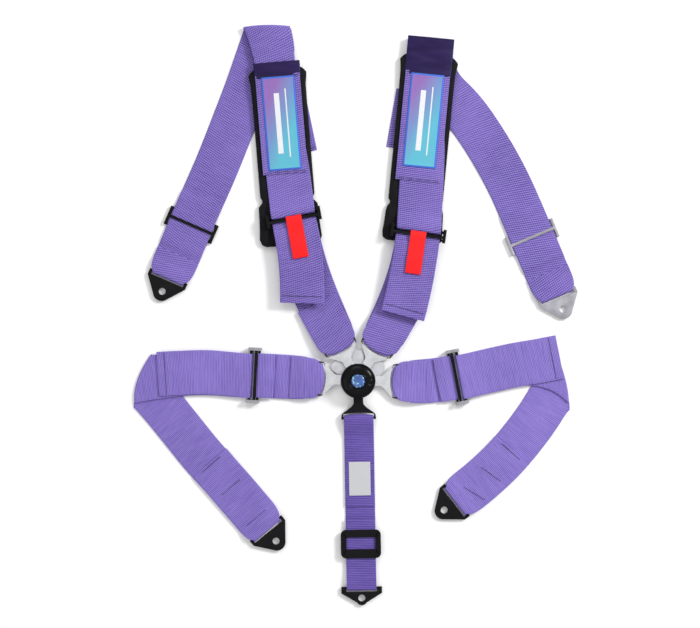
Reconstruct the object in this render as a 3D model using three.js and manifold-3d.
// A five-point racing harness lying open on a flat surface: a rotary buckle in the middle, two padded
// shoulder belts, two lap belts and a crotch strap, each ending in a bolt-in bracket.
// Units are millimetres. +Z is up, +Y points from the buckle to the shoulders, and the origin is the
// centre of the buckle's underside.
import * as THREE from 'three';
import { mergeVertices } from 'three/addons/utils/BufferGeometryUtils.js';
import Module from 'manifold-3d';

const wasm = await Module();
wasm.setup();

// ---------------------------------------------------------------- driving dimensions
const GAP = 0.35;                 // clearance between neighbouring pieces
const WEBBING = 1.8;              // thickness of the woven webbing
const BELT_WIDTH = 76;            // three inch webbing of the shoulder and lap belts
const STRAP_WIDTH = 51;           // two inch webbing of the crotch strap
const TONGUE_WIDTH = 52;          // a belt gathered to fit a tongue
const LOOP_WIDTH = 58;            // and gathered to fit a bracket
const LOOP_RADIUS = 3.65;         // centre line of webbing wrapped round a bar
const BAR = { wide: 4, thick: 3 };   // a flat bar that still turns inside a webbing loop
const PLATE = 3;                  // stamped hardware plate

const FLOOR_LAYER = 1.1;          // height of the centre of webbing that lies on the floor
const SECOND_LAYER = 3.4;         // and of a layer sewn on top of it
const BRACKET_Z = 4.8;            // height of a bracket's bar
const TONGUE_Z = 8.5;             // height of the tongues, half way up the buckle's slots
const TONGUE_BAR = 62;            // distance of a tongue's bar from the buckle's centre
const LAP_ADJUSTER_Z = 5.0;       // height of a lap adjuster's bars
const CHANNEL_Z = 12;             // height of the belt between a pad's foam and its panel
const PAD_ADJUSTER_Z = CHANNEL_Z + LOOP_RADIUS;

const HOUSING = { radius: 30, bottom: 3.3, top: 23, wall: 3.5, roof: 1.5 };
const PETAL = { angles: [33, 90, 146], reach: 43, radius: 10, top: 6.6 };
const SLOT = { width: 19, bottom: 6.5, top: 10.5 };
const KNOB = { radius: 30, bottom: 23.4, top: 34, grooves: [8, -15] };
const CAM = { radius: 15, bottom: 11, thick: 1.5, rise: 3, turn: 36, lead: 12 };
const BOLT = { at: 20, radius: 2.2, tip: 10.4, lug: 13.7, lugThick: 1.6 };
const SCREW_ANGLES = [60, 180, 300];

const BRACKET = { ear: 35, holeRadius: 6.2, length: 44, hole: 27, tipRadius: 15 };
const SHORT_BRACKET = { ...BRACKET, length: 30, hole: 17.5, tipRadius: 9.5 };
const ADJUSTER = { hinge: 0, lift: 5, lock: 14, rail: 5, half: BELT_WIDTH / 2 + 4.5 };
const TAB = { start: 8, end: 68, width: 27 };   // pull tab, measured from the lift bar

// One entry for each of the five belts. Angles are in degrees, counter-clockwise from +X.
const TONGUES = {
  lap_left: { angle: 177, colour: 0xc9ccd0 },
  lap_right: { angle: -1, colour: 0xc9ccd0 },
  shoulder_left: { angle: 118, colour: 0xc9ccd0 },
  shoulder_right: { angle: 60, colour: 0xc9ccd0 },
  crotch: { angle: 271, colour: 0x1c1c1f },
};

const COLOUR = {
  webbing: 0x4a2f8a, foam: 0x151517, panel: 0x39256e, patch: 0x3d6f9e, tab: 0xb8202c, label: 0xf1f1ee,
  black: 0x1b1b1e, satin: 0x8d8f93, chrome: 0xc9ccd0, petal: 0xb9bcc0, steel: 0xa5a8ac, badge: 0x2450b8,
};

const harness = new THREE.Group();

// ---------------------------------------------------------------- small helpers
const radians = THREE.MathUtils.degToRad;
const along = (angle, length) =>
  new THREE.Vector2(Math.cos(radians(angle)) * length, Math.sin(radians(angle)) * length);

function piece(name, geometry, colour, roughness = 0.6, metalness = 0, parent = harness) {
  const mesh = new THREE.Mesh(geometry, new THREE.MeshStandardMaterial({ color: colour, roughness, metalness }));
  mesh.name = name;
  parent.add(mesh);
  return mesh;
}

// A group that stands at a point of the plan, turned so that its own +X runs along `heading`.
function frameAt(point, height, heading) {
  const group = new THREE.Group();
  group.position.set(point.x, point.y, height);
  group.rotation.z = radians(heading);
  harness.add(group);
  return group;
}

function solid(geometry) {
  const bare = geometry.index ? geometry.toNonIndexed() : geometry;
  bare.deleteAttribute('normal');
  bare.deleteAttribute('uv');
  const welded = mergeVertices(bare, 1e-4);
  return new wasm.Manifold(new wasm.Mesh({
    numProp: 3,
    vertProperties: new Float32Array(welded.attributes.position.array),
    triVerts: new Uint32Array(welded.index.array),
  }));
}

function fromSolid(manifold) {
  const mesh = manifold.getMesh();
  const geometry = new THREE.BufferGeometry();
  geometry.setAttribute('position', new THREE.BufferAttribute(new Float32Array(mesh.vertProperties), 3));
  geometry.setIndex([...mesh.triVerts]);
  geometry.computeVertexNormals();
  return geometry;
}

const combine = (first, ...others) => others.reduce((sum, other) => sum.add(other), first);
const cut = (first, ...others) => others.reduce((rest, other) => rest.subtract(other), first);

// A flat plate between two heights, from an outline and optional holes.
function plate(outline, bottom, top, holes = [], curveSegments = 6) {
  outline.holes.push(...holes);
  const geometry = new THREE.ExtrudeGeometry(outline, { depth: top - bottom, bevelEnabled: false, curveSegments });
  return geometry.translate(0, 0, bottom);
}

function rectangle(x0, y0, x1, y1, Kind = THREE.Shape) {
  const shape = new Kind();
  shape.moveTo(x0, y0).lineTo(x1, y0).lineTo(x1, y1).lineTo(x0, y1).closePath();
  return shape;
}

// A rectangle with round corners, centred on a point.
function roundRectangle(x, y, length, width, radius, Kind = THREE.Shape) {
  const shape = new Kind();
  const [a, b] = [length / 2 - radius, width / 2 - radius];
  const corners = [[a, b, 0], [-a, b, 1], [-a, -b, 2], [a, -b, 3]];
  for (const [cx, cy, quarter] of corners) {
    shape.absarc(x + cx, y + cy, radius, quarter * Math.PI / 2, (quarter + 1) * Math.PI / 2, false);
  }
  return shape;
}

function circle(x, y, radius, Kind = THREE.Path) {
  const shape = new Kind();
  shape.absarc(x, y, radius, 0, Math.PI * 2, false);
  return shape;
}

function drum(radius, bottom, top, sides = 24) {
  return new THREE.CylinderGeometry(radius, radius, top - bottom, sides)
    .rotateX(Math.PI / 2).translate(0, 0, (top + bottom) / 2);
}

function block(x0, y0, z0, x1, y1, z1) {
  return new THREE.BoxGeometry(x1 - x0, y1 - y0, z1 - z0)
    .translate((x0 + x1) / 2, (y0 + y1) / 2, (z0 + z1) / 2);
}

// ---------------------------------------------------------------- webbing
// Webbing is a box bent along a path. The path is walked in plan: it runs forward while it steers and
// climbs, and it rolls over a bar or a fold line, which turns it back on itself one layer higher or lower.
class Webbing {
  constructor(point, height, heading, width) {
    this.at = point.clone();
    this.height = height;
    this.heading = heading;
    this.width = width;
    this.side = 1;
    this.stations = [];
    this.mark();
  }

  mark(point = this.at, height = this.height, sideways = along(this.heading + 90, this.side * this.width / 2)) {
    this.stations.push({
      point: new THREE.Vector3(point.x, point.y, height),
      half: new THREE.Vector3(sideways.x, sideways.y, 0),
    });
  }

  run(length, { turn = 0, to = this.height, width = this.width, steps = 1 } = {}) {
    const start = { height: this.height, width: this.width };
    for (let step = 1; step <= steps; step += 1) {
      this.heading += turn / steps / 2;
      this.at.add(along(this.heading, length / steps));
      this.heading += turn / steps / 2;
      const eased = THREE.MathUtils.smoothstep(step / steps, 0, 1);
      this.height = start.height + (to - start.height) * eased;
      this.width = start.width + (width - start.width) * (step / steps);
      this.mark();
    }
    return this;
  }

  // Half a turn about a line across the webbing, `skew` degrees off square. Up is +1 and down is -1.
  roll(radius, direction = 1, { skew = 0, steps = 6 } = {}) {
    const foldLine = along(this.heading + 90 + skew, this.side * this.width / 2 / Math.cos(radians(skew)));
    const outward = along(this.heading + skew, 1);
    const centre = this.height + direction * radius;
    for (let step = 0; step <= steps; step += 1) {
      const angle = Math.PI * step / steps;
      const point = this.at.clone().addScaledVector(outward, Math.sin(angle) * radius);
      this.mark(point, centre - direction * Math.cos(angle) * radius, foldLine);
    }
    this.height = centre + direction * radius;
    this.heading += 180 + 2 * skew;
    this.side = -this.side;
    return this;
  }

  geometry(thickness = WEBBING) {
    const stations = this.stations.filter((station, index, all) => index === 0
      || station.point.distanceTo(all[index - 1].point) > 0.05);
    const last = stations.length - 1;
    const normals = stations.map((station, index) => {
      const tangent = stations[Math.min(index + 1, last)].point.clone()
        .sub(stations[Math.max(index - 1, 0)].point);
      return tangent.cross(station.half).normalize().multiplyScalar(thickness / 2);
    });
    const box = new THREE.BoxGeometry(1, 1, 1, last, 1, 1);
    const position = box.attributes.position;
    for (let i = 0; i < position.count; i += 1) {
      const index = Math.round((position.getX(i) + 0.5) * last);
      const vertex = stations[index].point.clone()
        .addScaledVector(stations[index].half, Math.sign(position.getY(i)))
        .addScaledVector(normals[index], Math.sign(position.getZ(i)));
      position.setXYZ(i, vertex.x, vertex.y, vertex.z);
    }
    box.computeVertexNormals();
    return box;
  }
}

// ---------------------------------------------------------------- buckle
function buckleHousing() {
  const { radius, bottom, top, wall, roof } = HOUSING;
  const petals = PETAL.angles.map((angle) => {
    const arm = block(0, -PETAL.radius, bottom, PETAL.reach, PETAL.radius, PETAL.top);
    const end = drum(PETAL.radius, bottom, PETAL.top).translate(PETAL.reach, 0, 0);
    return combine(solid(arm), solid(end)).rotate([0, 0, angle]);
  });
  const slots = Object.values(TONGUES).map(({ angle }) =>
    solid(block(5, -SLOT.width / 2, SLOT.bottom, 2 * radius, SLOT.width / 2, SLOT.top)).rotate([0, 0, angle]));
  return fromSolid(cut(
    combine(solid(drum(radius, bottom, top, 48)), ...petals),
    solid(drum(radius - wall, bottom - 1, top - roof, 48)),
    solid(drum(6, bottom, top + 1)),
    ...slots,
  ));
}

function releaseKnob() {
  const { radius, bottom, top, grooves } = KNOB;
  const rim = 2;
  const profile = [[0, top - 3], [14, top - 3], [14.6, top], [radius - rim, top], [radius, top - rim],
    [radius, bottom], [0, bottom]].map(([x, y]) => new THREE.Vector2(x, y)).reverse();
  const turned = new THREE.LatheGeometry(profile, 48).rotateX(Math.PI / 2);
  const channels = grooves.map((angle) =>
    solid(block(16, -1.2, top - 1.5, radius + 1, 1.2, top + 1)).rotate([0, 0, angle]));
  return fromSolid(cut(solid(turned), ...channels));
}

// A ring of ramps on a disc. A ramp climbs clockwise from its bolt, so that a turn counter-clockwise
// drives it under the bolt's lug. Neighbouring bolts use an inner and an outer track.
function camPlate(bolts) {
  const { bottom, thick, rise, turn, lead } = CAM;
  const disc = cut(solid(drum(CAM.radius, bottom, bottom + thick, 36)), solid(drum(3.4, bottom - 1, 20, 16)));
  const ramps = bolts.map(({ angle, track }) => {
    const steps = 10;
    const ramp = new THREE.BoxGeometry(1, 1, 1, steps, 1, 1);
    const position = ramp.attributes.position;
    for (let i = 0; i < position.count; i += 1) {
      const swept = (position.getX(i) + 0.5) * (turn + lead);
      const height = rise * Math.min(swept, turn) / turn;
      const reach = position.getY(i) > 0 ? track + 1.5 : track - 1.5;
      const place = along(angle - swept, reach);
      position.setXYZ(i, place.x, place.y, position.getZ(i) > 0 ? bottom + thick + height + 0.05 : bottom + 0.5);
    }
    return solid(ramp);
  });
  return fromSolid(combine(disc, ...ramps));
}

// A pin that drops through the hole of a tongue, with a lug that reaches in over the cam.
function latchBolt(track) {
  const pin = solid(drum(BOLT.radius, BOLT.tip, BOLT.lug + BOLT.lugThick, 14).translate(BOLT.at, 0, 0));
  const lug = solid(block(track - 1.3, -1.4, BOLT.lug, BOLT.at + 2, 1.4, BOLT.lug + BOLT.lugThick));
  return combine(pin, lug);
}

class Helix extends THREE.Curve {
  constructor(radius, bottom, top, turns) {
    super();
    Object.assign(this, { radius, bottom, top, turns });
  }

  getPoint(t, target = new THREE.Vector3()) {
    const angle = t * this.turns * Math.PI * 2;
    return target.set(
      Math.cos(angle) * this.radius,
      Math.sin(angle) * this.radius,
      this.bottom + (this.top - this.bottom) * t,
    );
  }
}

function coil(radius, wire, bottom, top, turns) {
  const section = new THREE.Shape();
  section.absarc(0, 0, wire, 0, Math.PI * 2, false);
  const path = new Helix(radius, bottom + wire, top - wire, turns);
  return new THREE.ExtrudeGeometry(section, {
    steps: turns * 10, bevelEnabled: false, extrudePath: path, curveSegments: 3,
  });
}

function buckle() {
  piece('buckle_back_plate', drum(HOUSING.radius, 0, HOUSING.bottom - GAP, 36), COLOUR.black, 0.5, 0.4);
  piece('buckle_housing', buckleHousing(), COLOUR.petal, 0.35, 0.6);
  SCREW_ANGLES.forEach((angle, index) => {
    const place = along(angle + 30, HOUSING.radius - 8);
    const screw = drum(2.4, HOUSING.bottom, SLOT.bottom - GAP, 12).translate(place.x, place.y, 0);
    piece(`buckle_screw_${index + 1}`, screw, COLOUR.steel, 0.35, 0.9);
  });
  const rivet = along(TONGUES.lap_left.angle, BOLT.at);
  piece('lap_left_rivet', drum(2.6, SLOT.bottom + 0.2, CAM.bottom + 2, 14).translate(rivet.x, rivet.y, 0),
    COLOUR.steel, 0.35, 0.9);

  piece('release_knob', releaseKnob(), COLOUR.black, 0.35, 0.5);
  piece('knob_badge', drum(12, KNOB.top - 2.7, KNOB.top + 0.6, 36), COLOUR.badge, 0.15, 0.2);
  piece('knob_spindle', drum(3, HOUSING.bottom + 0.2, KNOB.bottom - GAP, 16), COLOUR.steel, 0.35, 0.9);

  const bolts = Object.entries(TONGUES).filter(([name]) => name !== 'lap_left').map(([name, tongue], index) => ({
    name, angle: tongue.angle, track: index < 2 ? 12.5 : 8.5,
  }));
  piece('cam_plate', camPlate(bolts), COLOUR.steel, 0.3, 0.9);
  for (const { name, angle, track } of bolts) {
    piece(`${name}_latch_bolt`, fromSolid(latchBolt(track).rotate([0, 0, angle])), COLOUR.steel, 0.3, 0.9);
    const place = along(angle, BOLT.at);
    const spring = coil(2.2, 0.45, BOLT.lug + BOLT.lugThick + 0.25, HOUSING.top - HOUSING.roof - 0.25, 3);
    piece(`${name}_latch_spring`, spring.translate(place.x, place.y, 0), COLOUR.steel, 0.3, 0.9);
  }
  const seat = CAM.bottom + CAM.thick + GAP;
  piece('knob_return_spring', coil(4.6, 0.45, seat, HOUSING.top - HOUSING.roof - 0.25, 4), COLOUR.steel, 0.3, 0.9);
}

// ---------------------------------------------------------------- plates
// A tongue in its own frame, +X outwards: a neck with the hole for its bolt, and a bar for the webbing.
function tongueGeometry(width, hole) {
  const [inner, neck, shoulder] = [13, 8.3, 44];
  const half = width / 2 + 4.3;
  const outer = TONGUE_BAR + BAR.wide / 2;
  const outline = new THREE.Shape();
  const edge = [[shoulder + 3, -half + 10], [outer - 9, -half + 1], [outer - 4, -half], [outer, -half]];
  outline.moveTo(inner, -neck + 2).lineTo(inner + 2, -neck).lineTo(shoulder - 6, -neck);
  edge.forEach(([x, y]) => outline.lineTo(x, y));
  edge.reverse().forEach(([x, y]) => outline.lineTo(x, -y));
  outline.lineTo(shoulder - 6, neck).lineTo(inner + 2, neck).lineTo(inner, neck - 2).closePath();
  const slotEnd = TONGUE_BAR - BAR.wide / 2;
  const holes = [rectangle(slotEnd - 4.8, -width / 2 - 0.8, slotEnd, width / 2 + 0.8, THREE.Path)];
  if (hole) holes.push(circle(BOLT.at, 0, 3));
  return plate(outline, -PLATE / 2, PLATE / 2, holes);
}

// A bracket in its own frame, +X towards the tip. The bar inside the webbing is at the origin.
function bracketGeometry(width, { ear, length, hole, holeRadius, tipRadius }) {
  const side = Math.max(ear, width / 2 + 5);
  const slot = BAR.wide / 2;
  const outline = new THREE.Shape();
  outline.moveTo(-slot, -side).lineTo(slot + 7, -side);
  outline.absarc(length - tipRadius, 0, tipRadius, -Math.PI / 3, Math.PI / 3, false);
  outline.lineTo(slot + 7, side).lineTo(-slot, side).closePath();
  const holes = [
    rectangle(slot, -width / 2 - 1, slot + 4.8, width / 2 + 1, THREE.Path),
    circle(hole, 0, holeRadius),
  ];
  return plate(outline, -PLATE / 2, PLATE / 2, holes);
}

// An adjuster's frame, +X up the belt: a hinge bar, a raised lift bar and two side rails.
function adjusterFrame() {
  const { hinge, lift, lock, rail, half } = ADJUSTER;
  const rails = [-1, 1].map((side) => {
    const [near, far] = [side * half, side * (half + rail)].sort((a, b) => a - b);
    return solid(block(hinge - 4, near, -3, lock + 5, far, 9));
  });
  const hingeBar = solid(block(-BAR.wide / 2, -half - 1, -BAR.thick / 2, BAR.wide / 2, half + 1, BAR.thick / 2));
  const liftBar = solid(block(lift - 2.5, -half - 1, 5.6, lift + 2.5, half + 1, 8.6));
  const seats = [-1, 1].map((side) => solid(drum(2.9, -1.6, 1.6, 14).rotateX(Math.PI / 2)
    .translate(lock, side * (half + 0.9), 0)));
  return fromSolid(cut(combine(hingeBar, liftBar, ...rails), ...seats));
}

const adjusterBar = () => drum(2.6, -ADJUSTER.half - 2, ADJUSTER.half + 2, 12).rotateX(Math.PI / 2)
  .translate(ADJUSTER.lock, 0, 0);

function adjuster(name, point, height, heading) {
  const frame = frameAt(point, height, heading);
  piece(`${name}_adjuster_frame`, adjusterFrame(), COLOUR.black, 0.4, 0.7, frame);
  piece(`${name}_adjuster_bar`, adjusterBar(), COLOUR.black, 0.35, 0.8, frame);
}

function bracket(name, point, heading, colour, width = LOOP_WIDTH, sizes = BRACKET) {
  const frame = frameAt(point, BRACKET_Z, heading);
  piece(`${name}_bracket`, bracketGeometry(width, sizes), colour, 0.35, 0.8, frame);
}

function tongue(name, width) {
  const { angle, colour } = TONGUES[name];
  const frame = frameAt(new THREE.Vector2(), TONGUE_Z, angle);
  piece(`${name}_tongue`, tongueGeometry(width, true), colour, 0.2, 0.9, frame);
}

const tongueBar = (name) => along(TONGUES[name].angle, TONGUE_BAR);

// ---------------------------------------------------------------- belts
// The strap between a tongue and an adjuster. It starts as the sewn end on top, goes round the tongue's
// bar, runs along underneath, and ends over the adjuster's hinge bar, whose place it gives back.
function lowerStrap(name, node, { length, turn, lap, hingeZ, level, climb }) {
  const { angle } = TONGUES[name];
  const top = TONGUE_Z + LOOP_RADIUS;
  const underside = hingeZ - LOOP_RADIUS;
  const low = Math.min(TONGUE_Z - LOOP_RADIUS, FLOOR_LAYER + 3);
  const start = along(angle, TONGUE_BAR + lap);
  const strap = new Webbing(start, low + 2.6, angle + 180, BELT_WIDTH - 4);
  strap.run(lap - 25, { to: top - 1, width: TONGUE_WIDTH + 4, steps: 3 });
  strap.run(25, { to: top, width: TONGUE_WIDTH }).roll(LOOP_RADIUS, -1);
  const bend = (part) => turn * part / (length - 25);
  strap.run(25, { to: low, width: BELT_WIDTH, steps: 3 });
  const middle = length - 25 - climb - level;
  strap.run(middle, { turn: bend(middle), steps: 6 });
  strap.run(climb, { turn: bend(climb), to: underside, steps: 5 }).run(level, { turn: bend(level), steps: 2 });
  const hinge = strap.at.clone();
  strap.roll(LOOP_RADIUS, 1).run(12).run(16, { to: underside + 5.6, steps: 2 });
  piece(node, strap.geometry(), COLOUR.webbing, 0.75);
  return hinge;
}

// The loop that ends a belt at its bracket: a sewn end on top, then round the bar, then away underneath.
function fromBracket(point, heading, lap, width = BELT_WIDTH) {
  const end = point.clone().add(along(heading, lap));
  const belt = new Webbing(end, SECOND_LAYER, heading + 180, width);
  belt.run(lap - 30).run(30, { to: BRACKET_Z + LOOP_RADIUS, width: LOOP_WIDTH, steps: 4 });
  belt.roll(LOOP_RADIUS, -1);
  return belt.run(30, { to: FLOOR_LAYER, width, steps: 4 });
}

function lapBelt(side, { short, turn, tail, rise, curve, back, bracketLap, colour }) {
  const name = `lap_${side}`;
  const heading = TONGUES[name].angle + turn;
  tongue(name, TONGUE_WIDTH);
  const hinge = lowerStrap(name, `${name}_short_webbing`, {
    length: short, turn, lap: 55, hingeZ: LAP_ADJUSTER_Z, level: 18, climb: 20,
  });
  adjuster(name, hinge, LAP_ADJUSTER_Z, heading);

  const lock = hinge.clone().add(along(heading, ADJUSTER.lock));
  const wrapped = LAP_ADJUSTER_Z + LOOP_RADIUS;
  const belt = new Webbing(lock.clone().add(along(heading, tail)), 7, heading + 180, BELT_WIDTH);
  belt.run(tail - 50, { steps: 2 }).run(50, { to: wrapped, steps: 2 }).roll(LOOP_RADIUS, -1);
  belt.run(rise, { to: 4, steps: 4 }).run(curve.length, { turn: curve.turn, steps: 8 });
  belt.roll((4 - FLOOR_LAYER) / 2, -1, { skew: curve.skew, steps: 5 });
  belt.run(back.length - 30, { turn: back.turn, steps: 10 });
  belt.run(30, { to: BRACKET_Z - LOOP_RADIUS, width: LOOP_WIDTH, steps: 3 });
  const bar = belt.at.clone();
  const facing = belt.heading;
  belt.roll(LOOP_RADIUS, 1).run(30, { to: SECOND_LAYER, width: BELT_WIDTH, steps: 4 });
  belt.run(bracketLap - 30, { turn: -back.turn * (bracketLap - 30) / (back.length - 30), steps: 4 });
  piece(`${name}_belt_webbing`, belt.geometry(), COLOUR.webbing, 0.75);
  bracket(name, bar, facing, colour);
}

// A triglide slide along +X, from the heights of the undersides of its two end bars and its centre bar.
function slideGeometry(width, length, ends, centre) {
  const half = width / 2 + 1.5;
  const [bottom, top] = [Math.min(ends, centre), Math.max(ends, centre) + 2];
  const rails = [-1, 1].map((side) => {
    const [near, far] = [side * half, side * (half + 5)].sort((a, b) => a - b);
    return solid(block(-length / 2, near, bottom, length / 2, far, top));
  });
  const bars = [[-length / 2, ends], [-2.5, centre], [length / 2 - 5, ends]].map(([x, z]) =>
    solid(block(x, -half - 1, z, x + 5, half + 1, z + 2)));
  return fromSolid(combine(...rails, ...bars));
}

function shoulderBelt(side, { lower, turn, tail, pad, bracketAt, bracketHeading, slide, build, colour }) {
  const name = `shoulder_${side}`;
  const heading = TONGUES[name].angle + turn;
  tongue(name, TONGUE_WIDTH);
  const hinge = lowerStrap(name, `${name}_lower_webbing`, {
    length: lower, turn, lap: 90, hingeZ: PAD_ADJUSTER_Z, level: 56, climb: 60,
  });
  adjuster(name, hinge, PAD_ADJUSTER_Z, heading);

  const above = PAD_ADJUSTER_Z + 6;
  const end = new Webbing(hinge.clone().add(along(heading + 180, 9)), above, heading + 180, BELT_WIDTH);
  end.run(15).run(tail.length - 15, { turn: tail.turn, to: above - 1.2, steps: 6 });
  piece(`${name}_tail_webbing`, end.geometry(), COLOUR.webbing, 0.75);

  const belt = build(fromBracket(bracketAt, bracketHeading, 42));
  const lock = hinge.clone().add(along(heading, ADJUSTER.lock));
  const reach = belt.at.distanceTo(lock);
  const aim = THREE.MathUtils.radToDeg(Math.atan2(lock.y - belt.at.y, lock.x - belt.at.x));
  belt.heading = aim;
  belt.run(reach - 32, { steps: 4 }).run(26, { to: PAD_ADJUSTER_Z + LOOP_RADIUS, steps: 4 });
  belt.heading = heading + 180;
  belt.at.copy(lock);
  belt.roll(LOOP_RADIUS, -1).run(14, { steps: 1 });
  piece(`${name}_belt_webbing`, belt.geometry(), COLOUR.webbing, 0.75);

  const frame = frameAt(pad.at, 0, pad.heading);
  const foam = plate(roundRectangle(0, 0, pad.length, pad.width, 14), 2.6, CHANNEL_Z - 1.3);
  piece(`${name}_pad_foam`, foam, COLOUR.foam, 0.9, 0, frame);
  const panel = plate(roundRectangle(pad.panelAt, 0, pad.panelLength, pad.panelWidth, 6),
    CHANNEL_Z + 1.3, CHANNEL_Z + 2.8);
  piece(`${name}_pad_panel`, panel, COLOUR.panel, 0.8, 0, frame);
  const patch = plate(roundRectangle(0, 0, 161, 57, 2), CHANNEL_Z + 3.1, CHANNEL_Z + 4.1);
  piece(`${name}_patch`, patch.translate(pad.patchAt, 0, 0), COLOUR.patch, 0.7, 0, frame);

  const tabFrame = frameAt(hinge.clone().add(along(heading, ADJUSTER.lift)), PAD_ADJUSTER_Z + 9, heading + 180);
  piece(`${name}_pull_tab`, block(TAB.start, -TAB.width / 2, 0, TAB.end, TAB.width / 2, WEBBING), COLOUR.tab, 0.7, 0, tabFrame);

  const slideAt = bracketAt.clone().add(along(slide.heading, slide.distance));
  const triglide = slideGeometry(BELT_WIDTH, 34, 0.4, 5);
  piece(`${name}_slide`, triglide, slide.colour, 0.4, 0.6, frameAt(slideAt, 0, slide.heading));
  bracket(name, bracketAt, bracketHeading + 180, colour);
}

function crotchStrap() {
  const { angle } = TONGUES.crotch;
  const [bracketBar, slideAt, firstEnd, secondEnd] = [357, 281, 217, 238];
  tongue('crotch', STRAP_WIDTH);
  const lifted = 3.9;
  const strap = new Webbing(along(angle, firstEnd), SECOND_LAYER, angle + 180, STRAP_WIDTH);
  strap.run(firstEnd - TONGUE_BAR - 40).run(40, { to: TONGUE_Z + LOOP_RADIUS, steps: 5 });
  strap.roll(LOOP_RADIUS, -1).run(30, { to: FLOOR_LAYER, steps: 4 });
  strap.run(slideAt - 45 - TONGUE_BAR - 30).run(15, { to: lifted, steps: 3 }).run(60);
  strap.run(15, { to: FLOOR_LAYER, steps: 3 }).run(bracketBar - slideAt - 45).roll(LOOP_RADIUS, 1);
  strap.run(12).run(20, { to: lifted + 2.3, steps: 3 }).run(bracketBar - secondEnd - 32);
  piece('crotch_webbing', strap.geometry(), COLOUR.webbing, 0.75);

  const frame = frameAt(along(angle, slideAt), 0, angle);
  piece('crotch_slide', slideGeometry(STRAP_WIDTH, 48, 7.4, 0.3), COLOUR.black, 0.4, 0.6, frame);
  const label = block(139, -19, SECOND_LAYER + 1.3, 199, 19, SECOND_LAYER + 1.9);
  piece('crotch_label', label, COLOUR.label, 0.8, 0, frameAt(new THREE.Vector2(), 0, angle));
  bracket('crotch', along(angle, bracketBar), angle, COLOUR.black, STRAP_WIDTH, SHORT_BRACKET);
}

buckle();
lapBelt('left', {
  short: 110, turn: 0, tail: 159, rise: 40, bracketLap: 150, colour: COLOUR.black,
  curve: { length: 143, turn: 14, skew: -30.9 }, back: { length: 332, turn: 0 },
});
lapBelt('right', {
  short: 102, turn: 12, tail: 173, rise: 97, bracketLap: 130, colour: COLOUR.black,
  curve: { length: 83, turn: -42, skew: 48 }, back: { length: 288, turn: -27 },
});
shoulderBelt('left', {
  lower: 233.7, turn: -17.6, tail: { length: 132, turn: -12 },
  bracketAt: new THREE.Vector2(-326.5, 178.5), bracketHeading: 66.5, colour: COLOUR.black,
  slide: { heading: 66.5, distance: 98, colour: COLOUR.black },
  pad: { at: new THREE.Vector2(-127, 384.5), heading: 94.7, length: 313, width: 100,
    panelAt: 64, panelLength: 185, panelWidth: 78, patchAt: 58 },
  build: (belt) => {
    belt.run(14).run(12, { to: 3.7, steps: 2 }).run(84).run(12, { to: FLOOR_LAYER, steps: 2 });
    belt.run(310, { turn: 5.5, steps: 6 }).roll(4.2, 1, { skew: 19 });
    return belt.run(50, { to: CHANNEL_Z, steps: 4 }).run(70, { turn: -14, steps: 4 });
  },
});
shoulderBelt('right', {
  lower: 207, turn: 21.9, tail: { length: 128, turn: -7 },
  bracketAt: new THREE.Vector2(342.5, 148), bracketHeading: 113, colour: COLOUR.satin,
  slide: { heading: 113, distance: 108, colour: COLOUR.satin },
  pad: { at: new THREE.Vector2(107.5, 398), heading: 84.5, length: 330, width: 100,
    panelAt: 55, panelLength: 220, panelWidth: 78, patchAt: 49 },
  build: (belt) => {
    belt.run(20).run(12, { to: 3.7, steps: 2 }).run(92).run(12, { to: FLOOR_LAYER, steps: 2 });
    belt.run(165, { turn: 12, steps: 4 }).run(60, { turn: 12, steps: 3 }).run(100, { turn: -55, steps: 8 });
    return belt.roll((CHANNEL_Z - FLOOR_LAYER) / 2, 1);
  },
});
crotchStrap();

export default harness;
